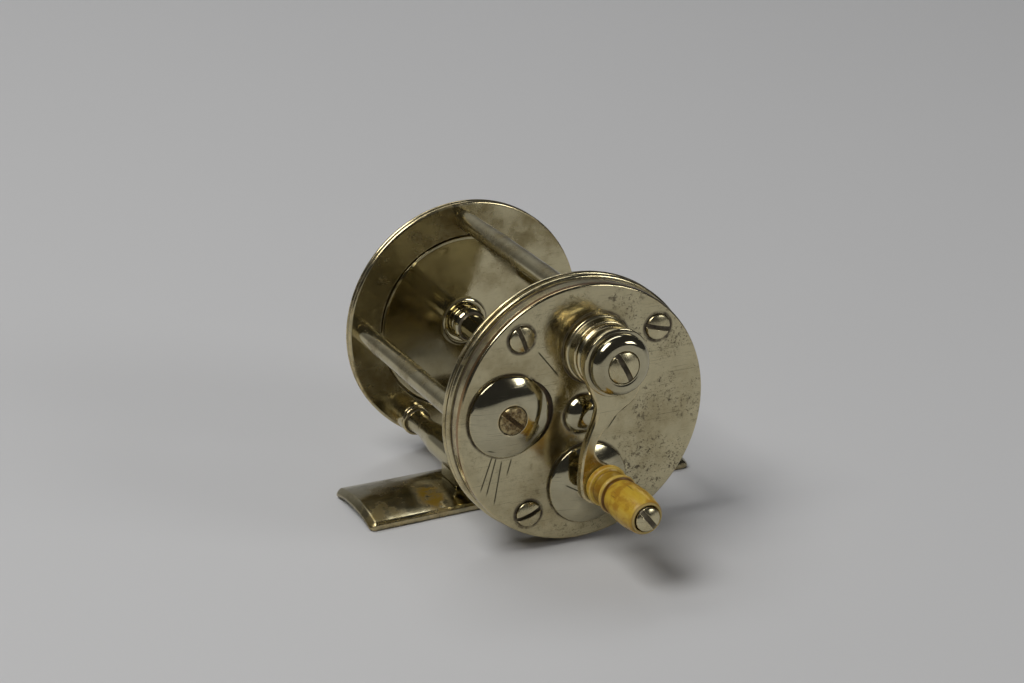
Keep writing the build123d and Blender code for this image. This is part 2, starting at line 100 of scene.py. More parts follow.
# ---- settings -------------------------------------------------------------------------
class ReelSizes(bpy.types.PropertyGroup):
    """Sizes a maker would change without changing how the pieces fit."""
    edge: bpy.props.FloatProperty(
        name="Edge round", description="Rounding of turned edges, in mm", default=0.18, min=0.02, max=0.5)
    rim_steps: bpy.props.IntProperty(
        name="Rim steps", description="Steps round the large plates", default=288, min=48, max=512)
    steps: bpy.props.IntProperty(
        name="Small steps", description="Steps round the small turned pieces", default=120, min=24, max=256)
    slot_depth: bpy.props.FloatProperty(
        name="Slot depth", description="Depth of the screw slots, in mm", default=0.85, min=0.2, max=1.2)
    bone_waver: bpy.props.FloatProperty(
        name="Bone waver", description="How far the hand-turned knob is out of round, in mm",
        default=0.05, min=0.0, max=0.2)
    foot_dent: bpy.props.FloatProperty(
        name="Foot waver", description="Height of the foot's old bends, in mm", default=0.12, min=0.0, max=0.4)


class ReelColours(bpy.types.PropertyGroup):
    """Colours and wear of the finishes."""
    nickel: bpy.props.FloatVectorProperty(
        name="Nickel silver", description="Clean metal", subtype="COLOR", size=3,
        default=(0.61, 0.545, 0.345), min=0, max=1)
    tarnish: bpy.props.FloatVectorProperty(
        name="Tarnish", description="Brown film on old metal", subtype="COLOR", size=3,
        default=(0.19, 0.135, 0.04), min=0, max=1)
    # The dirt colour also paints the contact shade rings round the raised pieces on the face.
    dirt: bpy.props.FloatVectorProperty(
        name="Dirt", description="Old dirt in corners and pits", subtype="COLOR", size=3,
        default=(0.055, 0.038, 0.02), min=0, max=1)
    brass: bpy.props.FloatVectorProperty(
        name="Worn edge", description="Yellow metal bared on edges", subtype="COLOR", size=3,
        default=(0.74, 0.60, 0.33), min=0, max=1)
    bone: bpy.props.FloatVectorProperty(
        name="Bone", description="Clean bone", subtype="COLOR", size=3,
        default=(0.56, 0.385, 0.045), min=0, max=1)
    stain: bpy.props.FloatVectorProperty(
        name="Bone stain", description="Orange-brown stain in the grooves", subtype="COLOR", size=3,
        default=(0.33, 0.145, 0.008), min=0, max=1)
    floor: bpy.props.FloatVectorProperty(
        name="Floor", description="Paper sweep under the reel", subtype="COLOR", size=3,
        default=(0.575, 0.575, 0.58), min=0, max=1)
    wear: bpy.props.FloatProperty(
        name="Wear", description="How much tarnish and scratching shows", subtype="FACTOR",
        default=0.5, min=0, max=1)


# ---- numpy shapes ---------------------------------------------------------------------
def arc(a, m, b, n=14):
    """Points on the circle through a, m and b: the centre is where the two chords' middle
    perpendiculars meet, and the angle runs evenly from a through m to b."""
    a, m, b = (np.array(p, float) for p in (a, m, b))
    left = 2 * np.array([m - a, b - m])
    right = np.array([m @ m - a @ a, b @ b - m @ m])
    c = np.linalg.solve(left, right)
    t = [math.atan2(*(p - c)[::-1]) for p in (a, m, b)]
    mid = (t[1] - t[0]) % math.tau
    end = (t[2] - t[0]) % math.tau
    if mid > end:
        end -= math.tau
    angle = t[0] + np.linspace(0, end, n)
    radius = np.linalg.norm(a - c)
    return np.column_stack([c[0] + radius * np.cos(angle), c[1] + radius * np.sin(angle)])


def outline(parts, edge):
    """Joins corner points (r, y, round) and arcs into one profile.  A corner with a round is
    cut back by it on both sides and bent with a quadratic curve, and short straight
    shoulders beside it keep the long flats flat."""
    rows = []
    for part in parts:
        part = np.atleast_2d(np.asarray(part, float))
        if part.shape[1] == 2:
            part = np.column_stack([part, np.zeros(len(part))])
        rows.append(part)
    p = np.vstack(rows)
    p = p[np.r_[True, np.linalg.norm(np.diff(p[:, :2], axis=0), axis=1) > 1e-6]]
    xy = p[:, :2]
    back, ahead = xy - np.roll(xy, 1, 0), np.roll(xy, -1, 0) - xy
    lb, la = np.linalg.norm(back, axis=1), np.linalg.norm(ahead, axis=1)
    cut = np.minimum(p[:, 2] * edge, 0.42 * np.minimum(lb, la))
    back /= np.maximum(lb, 1e-9)[:, None]
    ahead /= np.maximum(la, 1e-9)[:, None]
    hold = np.where(cut > 0, np.minimum(0.05, 0.04 * np.minimum(lb, la)), 0)
    a, b = xy - back * cut[:, None], xy + ahead * cut[:, None]
    t = np.linspace(0, 1, 5)[None, :, None]
    bent = (1 - t) ** 2 * a[:, None] + 2 * t * (1 - t) * xy[:, None] + t ** 2 * b[:, None]
    lead = (a - back * hold[:, None])[:, None]
    tail = (b + ahead * hold[:, None])[:, None]
    out = np.concatenate([lead, bent, tail], axis=1).reshape(-1, 2)
    keep = np.r_[True, np.linalg.norm(np.diff(out, axis=0), axis=1) > 1e-5]
    return out[keep]


def hollow_amount(profile, closed):
    """How far each profile point lies in a corner: the mean lean of its neighbours towards
    the outer side, weighted by a bell curve 0.35 mm wide and by the length each one stands
    for.  It is above zero in a groove and below zero on an edge."""
    p = profile
    tangent = np.roll(p, -1, 0) - np.roll(p, 1, 0) if closed else np.gradient(p, axis=0)
    normal = np.column_stack([tangent[:, 1], -tangent[:, 0]])
    normal /= np.maximum(np.linalg.norm(normal, axis=1), 1e-9)[:, None]
    gap = p[None] - p[:, None]
    far = np.linalg.norm(gap, axis=2)
    lean = np.einsum("ijk,ik->ij", gap, normal) / np.maximum(far, 1e-6)
    spacing = np.r_[0, np.linalg.norm(np.diff(p, axis=0), axis=1)]
    weight = np.exp(-(far / 0.35) ** 2) * (0.5 * (spacing + np.roll(spacing, -1)))[None]
    return (weight * lean).sum(1) / np.maximum(weight.sum(1), 1e-9)


def ring_grid(ring, n, x, z):
    """Grid of n points round the line through (x, z) for each (r, y): a point stands at
    (x + r cos t, y, z + r sin t).  Gives the points, their numbers and their neighbours'."""
    t = np.arange(n) * math.tau / n
    v = np.empty((len(ring), n, 3))
    v[..., 0] = x + ring[:, :1] * np.cos(t)
    v[..., 1] = ring[:, 1:]
    v[..., 2] = z + ring[:, :1] * np.sin(t)
    index = np.arange(len(ring) * n).reshape(len(ring), n)
    return v, index, np.roll(index, -1, 1)


def lathe(profile, n, x=0.0, z=0.0):
    """Surface of revolution: each (r, y) point goes round the line through (x, z) as in
    ring_grid.  Ends on the axis close in one point, and a profile that stays off the axis
    closes on itself."""
    p = np.asarray(profile, float)
    closed = p[0, 0] > 1e-6 or p[-1, 0] > 1e-6
    ring = p if closed else p[1:-1]
    nxt = np.roll(p, -1, 0)
    if (p[:, 0] * nxt[:, 1] - nxt[:, 0] * p[:, 1]).sum() < 0:
        p = p[::-1]
        ring = p if closed else p[1:-1]
    dirt = hollow_amount(p, closed)
    v, index, right = ring_grid(ring, n, x, z)
    if closed:
        below = np.roll(index, -1, 0)
        quads = np.stack([index, below, np.roll(below, -1, 1), right], -1).reshape(-1, 4)
        return v.reshape(-1, 3), [quads], np.repeat(dirt, n)
    quads = np.stack([index[:-1], index[1:], right[1:], right[:-1]], -1).reshape(-1, 4)
    m = len(ring) * n
    verts = np.vstack([v.reshape(-1, 3), [[x, p[0, 1], z], [x, p[-1, 1], z]]])
    first = np.column_stack([np.full(n, m), index[0], right[0]])
    last = np.column_stack([index[-1], np.full(n, m + 1), right[-1]])
    return verts, [quads, first, last], np.r_[np.repeat(dirt[1:-1], n), dirt[0], dirt[-1]]


def rim_wall(rows, n, x, z, dirt, inner=False):
    """Band of rings given as (radius, y) from front to back, facing outward, or facing the
    axis for the wall of a hole; a last radius of zero closes it with a floor."""
    closed = rows[-1, 0] == 0
    ring = rows[:-1] if closed else rows
    v, index, right = ring_grid(ring, n, x, z)
    quads = np.stack([index[:-1], index[1:], right[1:], right[:-1]], -1).reshape(-1, 4)
    verts, faces = v.reshape(-1, 3), [quads[:, ::-1] if inner else quads]
    if closed:
        verts = np.vstack([verts, [[x, rows[-1, 1], z]]])
        faces.append(np.column_stack([index[-1], right[-1], np.full(n, len(verts) - 1)]))
    amount = np.full(len(verts), float(dirt))
    amount[:n] = 0.0
    return verts, faces, amount


def slotted(radius, rise, edge, wall, width, depth, n=44):
    """Round screw head: a plane grid of lines across a disc, lifted by a low crown that
    falls as the square of the radius and rounds over at the rim, and sunk to a flat floor
    between the two slot lines.  A straight wall goes down from its outline."""
    half = width / 2
    end = 0.9985 * radius
    outer = half + 0.09 + (end - half - 0.09) * np.sin(np.linspace(0, 1, n // 2) * math.pi / 2)
    u = np.r_[half - 0.02, half, half + 0.03, outer]
    u = np.r_[-u[::-1], np.linspace(-half * 0.6, half * 0.6, 3), u]
    sink = np.clip((half + 0.03 - np.abs(u)) / 0.03, 0, 1)
    t = np.sin(np.linspace(-1, 1, n) * math.pi / 2)
    reach = np.sqrt(np.maximum(radius ** 2 - u ** 2, 0))
    px, pz = np.repeat(u[:, None], n, 1), reach[:, None] * t
    rho = np.minimum(np.hypot(px, pz) / radius, 1)
    over = np.clip((rho - 1 + edge / radius) * radius / edge, 0, 1)
    top = rise * (1 - rho ** 2) - edge * (1 - np.sqrt(np.maximum(1 - over ** 2, 0)))
    floor = rise - depth
    h = top + (np.minimum(floor, top) - top) * sink[:, None]
    dirt = -0.3 * over + 0.9 * sink[:, None]
    rows, cols = h.shape
    grid = np.arange(rows * cols).reshape(rows, cols)
    quads = np.stack([grid[:-1, :-1], grid[1:, :-1], grid[1:, 1:], grid[:-1, 1:]], -1).reshape(-1, 4)
    ring = np.r_[grid[0, :-1], grid[:-1, -1], grid[-1, :0:-1], grid[:0:-1, 0]][::-1]
    v = np.stack([px.ravel(), pz.ravel(), h.ravel()], -1)
    low = v[ring].copy()
    low[:, 2] = -wall
    start = rows * cols
    side = start + np.arange(len(ring))
    nxt = np.roll(np.arange(len(ring)), -1)
    walls = np.column_stack([ring, side, side[nxt], ring[nxt]])
    v = np.vstack([v, low, [[0, 0, -wall]]])
    foot = np.column_stack([side, np.full(len(ring), start + len(ring)), side[nxt]])
    return v, [quads, walls, foot], np.r_[dirt.ravel(), np.full(len(ring) + 1, 0.5)]


def placed(shape, origin, basis, turn=0.0):
    """Moves a shape drawn as (across, up, out) to an origin on a face: the two face
    directions are turned by an angle first."""
    v, faces, dirt = shape
    a = math.radians(turn)
    e1, e2, out = (np.array(b, float) for b in basis)
    f1, f2 = math.cos(a) * e1 + math.sin(a) * e2, -math.sin(a) * e1 + math.cos(a) * e2
    w = np.array(origin, float) + v[:, :1] * f1 + v[:, 1:2] * f2 + v[:, 2:] * out
    if np.dot(np.cross(e1, e2), out) < 0:
        faces = [f[:, ::-1] for f in faces]
    return w, faces, dirt


def joined(*shapes):
    """Several shapes as one: vertices are stacked and face numbers moved up."""
    verts, faces, dirt, base = [], [], [], 0
    for v, f, d in shapes:
        verts.append(v)
        faces += [g + base for g in f]
        dirt.append(d)
        base += len(v)
    return np.vstack(verts), faces, np.concatenate(dirt)


def curve_through(points, n=12):
    """Closed smooth curve through points: between two of them the cubic whose slope at each
    point is half the step between its neighbours."""
    p = np.asarray(points, float)
    a, b, c, d = np.roll(p, 1, 0), p, np.roll(p, -1, 0), np.roll(p, -2, 0)
    t = (np.arange(n) / n)[None, :, None]
    q = 0.5 * (2 * b[:, None] + (c - a)[:, None] * t
               + (2 * a - 5 * b + 4 * c - d)[:, None] * t ** 2
               + (3 * b - a - 3 * c + d)[:, None] * t ** 3)
    return q.reshape(-1, 2)


def one_way(points, triangles):
    """Triangles of flat points, turned where the cross product of two sides is below zero."""
    a, b, c = (points[triangles[:, k]] for k in range(3))
    turn = (b[:, 0] - a[:, 0]) * (c[:, 1] - a[:, 1]) - (b[:, 1] - a[:, 1]) * (c[:, 0] - a[:, 0])
    return np.where((turn < 0)[:, None], triangles[:, ::-1], triangles)


def slab(ring, front, back, edge):
    """Flat plate with a rounded edge: the (x, z) ring is moved inward by edge (1 - cos) and
    in y by edge (1 - sin) in steps at both faces, and each face is filled."""
    ring = np.asarray(ring, float)
    nxt = np.roll(ring, -1, 0)
    if (ring[:, 0] * nxt[:, 1] - nxt[:, 0] * ring[:, 1]).sum() < 0:
        ring = ring[::-1]
    along = np.roll(ring, -1, 0) - np.roll(ring, 1, 0)
    inward = np.column_stack([-along[:, 1], along[:, 0]])
    inward /= np.linalg.norm(inward, axis=1)[:, None]
    f = np.linspace(0, math.pi / 2, 5)
    move = np.r_[edge * 1.25, edge * (1 - np.sin(f)), edge * (1 - np.cos(f)), edge * 1.25]
    y = np.r_[front, front + edge * (1 - np.cos(f)), back - edge * (1 - np.sin(f)), back]
    shifted = ring[None] + inward[None] * move[:, None, None]
    n = len(ring)
    v = np.empty((len(move), n, 3))
    v[..., 0], v[..., 1], v[..., 2] = shifted[..., 0], y[:, None], shifted[..., 1]
    index = np.arange(len(move) * n).reshape(len(move), n)
    right = np.roll(index, -1, 1)
    quads = np.stack([index[:-1], right[:-1], right[1:], index[1:]], -1).reshape(-1, 4)[:, ::-1]
    fill = np.array(tessellate_polygon([[Vector((q[0], q[1], 0)) for q in shifted[0]]]))
    fill = one_way(shifted[0], fill)
    dirt = np.repeat(np.r_[0.0, np.full(10, -0.25), 0.0], n)
    return v.reshape(-1, 3), [quads, fill, fill[:, ::-1] + (len(move) - 1) * n], dirt


def pierced(radius, holes, n, front=0.0):
    """Disc face at y = front with round holes: the circles' points are joined by a
    constrained Delaunay net, and triangles whose middle is in a hole are dropped."""
    rings, edges, start = [], [], 0
    for cx, cz, r, k in [(0, 0, radius, n)] + [(h[0], h[1], h[2], 96) for h in holes]:
        t = np.arange(k) * math.tau / k
        rings.append(np.column_stack([cx + r * np.cos(t), cz + r * np.sin(t)]))
        edges += [(start + i, start + (i + 1) % k) for i in range(k)]
        start += k
    points = np.vstack(rings)
    out = delaunay_2d_cdt([Vector(p) for p in points], edges, [], 0, 1e-7)
    p, tri = np.array([tuple(q) for q in out[0]]), np.array(out[2])
    mid = p[tri].mean(1)
    keep = np.hypot(mid[:, 0], mid[:, 1]) < radius
    for h in holes:
        keep &= np.hypot(mid[:, 0] - h[0], mid[:, 1] - h[1]) > h[2] * 0.999
    tri = one_way(p, tri[keep])
    return np.column_stack([p[:, 0], np.full(len(p), front), p[:, 1]]), [tri], np.zeros(len(p))


def foot_shape(length, half, end_half, top, thick, sag, waver):
    """Arched foot: a closed section (crowned top, round long edges, hollow underside with a
    flat middle strip) swept along X, narrowed to round corners and thinned at both ends."""
    k = 60
    s = np.sin(np.linspace(-1, 1, k) * math.pi / 2)
    reach = length / 2
    bevel = corner = 1.1
    near_end = 1 - bevel / reach * np.linspace(1.02, 0, 16) ** 1.6
    x = np.r_[np.linspace(0, 1 - 1.25 * bevel / reach, 90), near_end, 1.0]
    x = np.unique(np.round(x, 6))
    x = np.r_[-x[:0:-1], x] * reach
    side = end_half + (half - end_half) * (1 - (x / reach) ** 2)
    into = np.clip((np.abs(x) - (reach - corner)) / corner, 0, 1)
    side = side - corner * (1 - np.sqrt(np.maximum(1 - into ** 2, 0))) * 0.98
    thin = np.clip((np.abs(x) - (reach - bevel)) / bevel, 0, 1)
    drop = 0.85 * thin ** 1.1
    y_top = s[None] * side[:, None]
    dent = waver * (np.sin(x / 9.0 + 0.7)[:, None] * 0.5 + np.sin(x[:, None] / 4.1 + y_top / 3.85) * 0.22)
    dent *= np.clip(np.abs(x)[:, None] / 15 - 0.6, 0, 1)
    roll = 0.22 * np.clip((np.abs(s) - 0.93) / 0.07, 0, 1) ** 2
    z_top = top - sag * (y_top / half) ** 2 - drop[:, None] - roll[None]
    bottom = top - thick
    flat = np.maximum(np.abs(y_top) - 2.5, 0) / (half - 2.5)
    z_low = bottom - sag * flat ** 1.7 + roll[None]
    z_top = np.maximum(z_top + np.minimum(dent, 0), z_low + 0.12)
    ring_y = np.concatenate([y_top, y_top[:, ::-1]], 1)
    ring_z = np.concatenate([z_top, z_low[:, ::-1]], 1)
    rows, cols = ring_y.shape
    v = np.empty((rows, cols, 3))
    v[..., 0], v[..., 1], v[..., 2] = x[:, None], FOOT_MID + ring_y, ring_z
    index = np.arange(rows * cols).reshape(rows, cols)
    right = np.roll(index, -1, 1)
    quads = np.stack([index[:-1], index[1:], right[1:], right[:-1]], -1).reshape(-1, 4)[:, ::-1]
    ends = []
    for row, flip in ((0, False), (rows - 1, True)):
        top_row, low_row = index[row, :k], index[row, k:][::-1]
        strip = np.column_stack([top_row[:-1], top_row[1:], low_row[1:], low_row[:-1]])
        ends.append(strip[:, ::-1] if flip else strip)
    dirt = np.zeros((rows, cols)) - 0.3 * (np.concatenate([roll, roll])[None] / 0.22)
    return v.reshape(-1, 3), [quads] + [e[:, ::-1] for e in ends], dirt.ravel()


def block(x, y, z, sx, sy, sz, round_by, n=24):
    """Round-cornered block: a ball's points pushed out by the block's half sizes less the
    corner radius along the sign of each direction."""
    a = np.linspace(-math.pi / 2, math.pi / 2, n)
    t = np.arange(2 * n) * math.pi / n + math.pi / (2 * n)
    d = np.stack([np.cos(a)[1:-1, None] * np.cos(t), np.cos(a)[1:-1, None] * np.sin(t),
                  np.sin(a)[1:-1, None] + 0 * t], -1)
    half = np.array([sx, sy, sz]) / 2 - round_by
    v = d * round_by + np.sign(d) * half
    m = v.shape[0] * v.shape[1]
    index = np.arange(m).reshape(v.shape[:2])
    right = np.roll(index, -1, 1)
    quads = np.stack([index[:-1], right[:-1], right[1:], index[1:]], -1).reshape(-1, 4)
    low, high = np.full(2 * n, m), np.full(2 * n, m + 1)
    verts = np.vstack([v.reshape(-1, 3), [[0, 0, -half[2] - round_by], [0, 0, half[2] + round_by]]])
    fans = [np.column_stack([low, right[0], index[0]]), np.column_stack([high, index[-1], right[-1]])]
    return verts + np.array([x, y, z]), [quads] + fans, np.zeros(len(verts))


# ---- objects and finishes -----------------------------------------------------------------
def solid(name, shape, slot, body, *nodes, finish=None):
    """One finished piece: scales the millimetres to metres in the row frame, stores the
    corner amount as the attribute `corner`, rides its body and stands for its nodes."""
    v, faces, dirt = shape
    mesh = bpy.data.meshes.new(name)
    loops = np.concatenate([f.ravel() for f in faces]).astype(np.int32)
    count = np.concatenate([np.full(len(f), f.shape[1]) for f in faces]).astype(np.int32)
    mesh.vertices.add(len(v))
    mesh.loops.add(len(loops))
    mesh.polygons.add(len(count))
    mesh.vertices.foreach_set("co", ((v + SHIFT) * 0.001).astype(np.float32).ravel())
    mesh.loops.foreach_set("vertex_index", loops)
    mesh.polygons.foreach_set("loop_start", (np.cumsum(count) - count).astype(np.int32))
    mesh.polygons.foreach_set("use_smooth", np.ones(len(count), bool))
    mesh.update(calc_edges=True)
    mesh.validate()
    corner = mesh.attributes.new("corner", "FLOAT", "POINT")
    corner.data.foreach_set("value", np.asarray(dirt, np.float32))
    obj = bpy.data.objects.new(name.replace(" ", "_"), mesh)
    bpy.context.scene.collection.objects.link(obj)
    mesh.materials.append(FINISHES[finish or slot])
    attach(obj, body)
    if nodes:
        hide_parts(*nodes)
    return obj


class Wiring:
    """Adds shader nodes to one material and wires them by input name."""

    def __init__(self, name):
        self.material = bpy.data.materials.new(name)
        self.material.use_nodes = True
        self.tree = self.material.node_tree
        self.tree.nodes.clear()
        self.out = self.add("ShaderNodeOutputMaterial")
        self.place = self.vector("MULTIPLY", self.add("ShaderNodeTexCoord").outputs["Object"], (1000,) * 3)
        self.corner = self.add("ShaderNodeAttribute", attribute_name="corner").outputs["Fac"]

    def add(self, kind, values=None, **props):
        """A node with its properties and inputs; an input is a value or another socket."""
        node = self.tree.nodes.new(kind)
        for key, value in props.items():
            setattr(node, key, value)
        for key, value in (values or {}).items():
            if isinstance(value, bpy.types.NodeSocket):
                self.tree.links.new(value, node.inputs[key])
            else:
                node.inputs[key].default_value = value
        return node

    def math(self, op, a, b=0.0, clamp=False):
        """One arithmetic step."""
        return self.add("ShaderNodeMath", {0: a, 1: b}, operation=op, use_clamp=clamp).outputs[0]

    def vector(self, op, a, b=(0, 0, 0)):
        """One step on vectors that gives a vector."""
        return self.add("ShaderNodeVectorMath", {0: a, 1: b}, operation=op).outputs[0]

    def measure(self, op, a, b=(0, 0, 0)):
        """One step on vectors that gives a number."""
        return self.add("ShaderNodeVectorMath", {0: a, 1: b}, operation=op).outputs[1]

    def span(self, value, low, high, to_low=0.0, to_high=1.0):
        """A value stretched from one range to another and held inside it."""
        return self.add("ShaderNodeMapRange", {"Value": value, "From Min": low, "From Max": high,
                                               "To Min": to_low, "To Max": to_high},
                        interpolation_type="SMOOTHSTEP").outputs[0]

    def mix(self, factor, a, b):
        """Two colours mixed by a factor."""
        a, b = (tuple(c) + (1,) if not isinstance(c, bpy.types.NodeSocket) and len(c) == 3 else c
                for c in (a, b))
        return self.add("ShaderNodeMix", {0: factor, 6: a, 7: b}, data_type="RGBA").outputs[2]

    def skin(self, height, strength, **inputs):
        """Bumps a Principled surface by a height in mm, joins it to the output and gives the
        material.  Input names are written with underscores for spaces."""
        bent = self.add("ShaderNodeBump", {"Height": height, "Strength": strength, "Distance": 0.001})
        values = {key.replace("_", " "): value for key, value in inputs.items()}
        surface = self.add("ShaderNodeBsdfPrincipled", {**values, "Normal": bent.outputs[0]})
        self.tree.links.new(surface.outputs[0], self.out.inputs[0])
        return self.material

    def stroke(self, start, end, width=0.13):
        """One straight scratch on the face between two (x, z) points in the reel's frame."""
        a, b = np.array(start, float), np.array(end, float)
        long = float(np.linalg.norm(b - a))
        d = (b - a) / long
        rel = self.vector("SUBTRACT", self.place, (a[0], 0, a[1] + SHIFT[2]))
        along = self.measure("DOT_PRODUCT", rel, (d[0], 0, d[1]))
        off = self.measure("DOT_PRODUCT", rel, (-d[1], 0, d[0]))
        inside = self.math("MULTIPLY", self.span(along, 0.0, 0.8), self.span(along, long, long - 1.5))
        return self.math("MULTIPLY", inside, self.span(self.math("ABSOLUTE", off), width * 1.6, width * 0.5))

    def ring(self, x, z, r, width=0.55):
        """Soft ring of a radius round a point (x, z) on the face: the mask of the painted contact shade."""
        rel = self.vector("SUBTRACT", self.place, (x, 0, z + SHIFT[2]))
        far = self.measure("LENGTH", self.vector("MULTIPLY", rel, (1, 0, 1)))
        return self.span(self.math("ABSOLUTE", self.math("SUBTRACT", far, r)), width, 0.0)

    def noise(self, scale, detail=4.0, rough=0.55, stretch=None, seed=0.0):
        """Noise at a scale in 1/mm, stretched along an axis if asked."""
        where = self.place
        if stretch:
            where = self.add("ShaderNodeMapping", {"Vector": where, "Scale": stretch,
                                                   "Rotation": (0, 0.12 * seed, 0)}).outputs[0]
        where = self.vector("ADD", where, (seed * 13.1, seed * 7.7, seed * 3.3))
        return self.add("ShaderNodeTexNoise", {"Vector": where, "Scale": scale, "Detail": detail,
                                               "Roughness": rough}).outputs[0]


def shade(colour, *by):
    """A colour times one number, or times three."""
    return tuple(v * k for v, k in zip(colour, by * 3 if len(by) == 1 else by))


def golden_patch(w, place, cloud):
    """Ragged round patch: the distance from a place, squeezed in X and more in Y, is cut by
    fine clouds."""
    near = w.vector("MULTIPLY", w.vector("SUBTRACT", w.place, place), (0.26, 0.13, 0.0))
    return w.math("MULTIPLY", w.span(w.measure("LENGTH", near), 1.0, 0.35), w.span(cloud, 0.30, 0.55))


def brown_spots(w, seed):
    """Two sizes of specks, thick on the +X side and thin on the other, in wide clouds."""
    side = w.add("ShaderNodeSeparateXYZ", {0: w.place}).outputs[0]
    patch = w.math("MULTIPLY", w.span(side, -14.0, 10.0, 0.25, 1.0),
                   w.span(w.noise(0.2, 3, 0.6, seed=seed + 9), 0.38, 0.58))
    coarse = w.span(w.noise(0.75, 6, 0.8, seed=seed + 3), 0.55, 0.62)
    fine = w.math("MULTIPLY", w.span(w.noise(2.6, 3, 0.7, seed=seed + 5), 0.56, 0.64), 0.7)
    return w.math("MULTIPLY", patch, w.math("MAXIMUM", coarse, fine))


def fine_scratches(w):
    """Noise pulled long in four directions; only its crests are scratches."""
    lines = []
    for k, turn in enumerate((0.35, 1.25, -0.6, 2.2)):
        spun = w.add("ShaderNodeMapping", {"Vector": w.place, "Rotation": (turn * 0.3, turn, 0.2 * turn),
                                           "Scale": (0.10, 0.10, 6.0)}).outputs[0]
        line = w.add("ShaderNodeTexNoise", {"Vector": spun, "Scale": 0.9 + 0.35 * k, "Detail": 2.0,
                                            "Roughness": 0.5}).outputs[0]
        lines.append(w.span(line, 0.69, 0.73))
    return w.math("MAXIMUM", w.math("MAXIMUM", lines[0], lines[1]), w.math("MAXIMUM", lines[2], lines[3]))


def metal(name, base, rough, tarnish, pits, scratch, brass, seed, ripples=1.0, bump=0.55,
          strokes=(), rings=(), spots=0.0, stain=None, brown_floors=False):
    """Old nickel silver: tarnish in soft clouds, dirt in corners and pits, yellow metal on
    worn edges, fine scratches at several angles, and uneven roughness.  It may also have
    single strokes, rings of painted contact shade and dirt round raised pieces, brown spots,
    a golden stain and brown floors in its recesses."""
    c = bpy.context.scene.reel_colours
    w = Wiring(name)
    cloud = w.noise(0.11, 5, 0.6, seed=seed)
    cloud_fine = w.noise(0.55, 6, 0.65, seed=seed + 2)
    speck = w.noise(1.7, 3, 0.7, seed=seed + 4)

    film = w.math("MULTIPLY", w.span(cloud, 0.42, 0.72), tarnish * (0.5 + c.wear), True)
    film = w.math("ADD", film, w.math("MULTIPLY", w.span(cloud_fine, 0.55, 0.75), tarnish * 0.35), True)
    colour = w.mix(w.span(cloud_fine, 0.3, 0.7), shade(base, 0.93), shade(base, 1.05))
    colour = w.mix(film, colour, tuple(c.tarnish))
    if stain:
        golden = golden_patch(w, stain, cloud_fine)
        colour = w.mix(golden, colour, (0.20, 0.12, 0.01))
    edge = w.math("MULTIPLY", w.span(w.corner, -0.05, -0.30), w.span(cloud_fine, 0.35, 0.62), True)
    colour = w.mix(w.math("MULTIPLY", edge, brass, True), colour, tuple(c.brass))
    if brown_floors:
        inward = w.add("ShaderNodeSeparateXYZ", {0: w.place}).outputs[1]
        floor = w.span(inward, SHIFT[1] + 0.25, SHIFT[1] + 0.5)
        colour = w.mix(w.math("MULTIPLY", floor, 0.85), colour, (0.30, 0.15, 0.045))

    pit = w.math("MULTIPLY", w.span(speck, 0.66, 0.76), w.span(cloud, 0.40, 0.62))
    groove = w.math("MULTIPLY", w.span(w.corner, 0.03, 0.24), w.span(cloud_fine, 0.2, 0.6, 0.65, 1.0), True)
    grime_and_shade = w.math("MAXIMUM", w.math("MULTIPLY", groove, 0.95), w.math("MULTIPLY", pit, pits * 1.6, True))
    # Painted contact shade with some dirt: a dark ring round the foot of each raised piece, where its shadow
    # and the gap beside it fall on the face.
    for x, z, r in rings:
        grime_and_shade = w.math("MAXIMUM", grime_and_shade, w.math("MULTIPLY", w.ring(x, z, r), w.span(cloud_fine, 0.22, 0.58)))
    if spots:
        grime_and_shade = w.math("MAXIMUM", grime_and_shade, w.math("MULTIPLY", brown_spots(w, seed), spots))
    # Dirt in grooves and pits, and the painted contact shade rings, are all mixed in with the dirt colour.
    colour = w.mix(grime_and_shade, colour, tuple(c.dirt))

    marks = w.math("MULTIPLY", fine_scratches(w), scratch, True)
    for start, end in strokes:
        marks = w.math("MAXIMUM", marks, w.stroke(start, end))
    colour = w.mix(w.math("MULTIPLY", marks, 0.95), colour, shade(base, 0.14))

    roughness = w.span(cloud_fine, 0.25, 0.75, rough * 0.8, rough * 1.3)
    roughness = w.math("ADD", roughness, w.math("MULTIPLY", w.math("MAXIMUM", film, grime_and_shade), 0.28))
    roughness = w.math("ADD", roughness, w.math("MULTIPLY", marks, 0.12), True)
    metallic = w.span(grime_and_shade, 0.2, 1.0, 1.0, 0.25)
    if stain:
        metallic = w.math("SUBTRACT", metallic, w.math("MULTIPLY", golden, 0.7))

    height = w.math("MULTIPLY", w.noise(0.23, 2, 0.5, seed=seed + 6), 0.05 * ripples)
    height = w.math("SUBTRACT", height, w.math("MULTIPLY", grime_and_shade, 0.02))
    height = w.math("SUBTRACT", height, w.math("MULTIPLY", marks, 0.006))
    height = w.math("ADD", height, w.math("MULTIPLY", speck, 0.004 + 0.01 * pits))
    return w.skin(height, bump, Base_Color=colour, Roughness=roughness, Metallic=metallic)


def rust_metal(name):
    """Steel gone brown: rust scale over dull steel, rough and pitted."""
    w = Wiring(name)
    scale = w.noise(0.9, 7, 0.7, seed=3)
    fine = w.noise(3.2, 4, 0.7, seed=5)
    rust = w.span(w.math("ADD", scale, w.math("MULTIPLY", w.corner, 0.3)), 0.38, 0.6)
    colour = w.mix(w.span(fine, 0.35, 0.7), (0.05, 0.028, 0.008), (0.22, 0.135, 0.035))
    colour = w.mix(rust, (0.46, 0.37, 0.19), colour)
    height = w.math("ADD", w.math("MULTIPLY", rust, 0.03), w.math("MULTIPLY", fine, 0.03))
    return w.skin(height, 0.8, Base_Color=colour, Roughness=w.span(rust, 0.0, 1.0, 0.3, 0.62),
                  Metallic=w.span(rust, 0.0, 1.0, 1.0, 0.15))


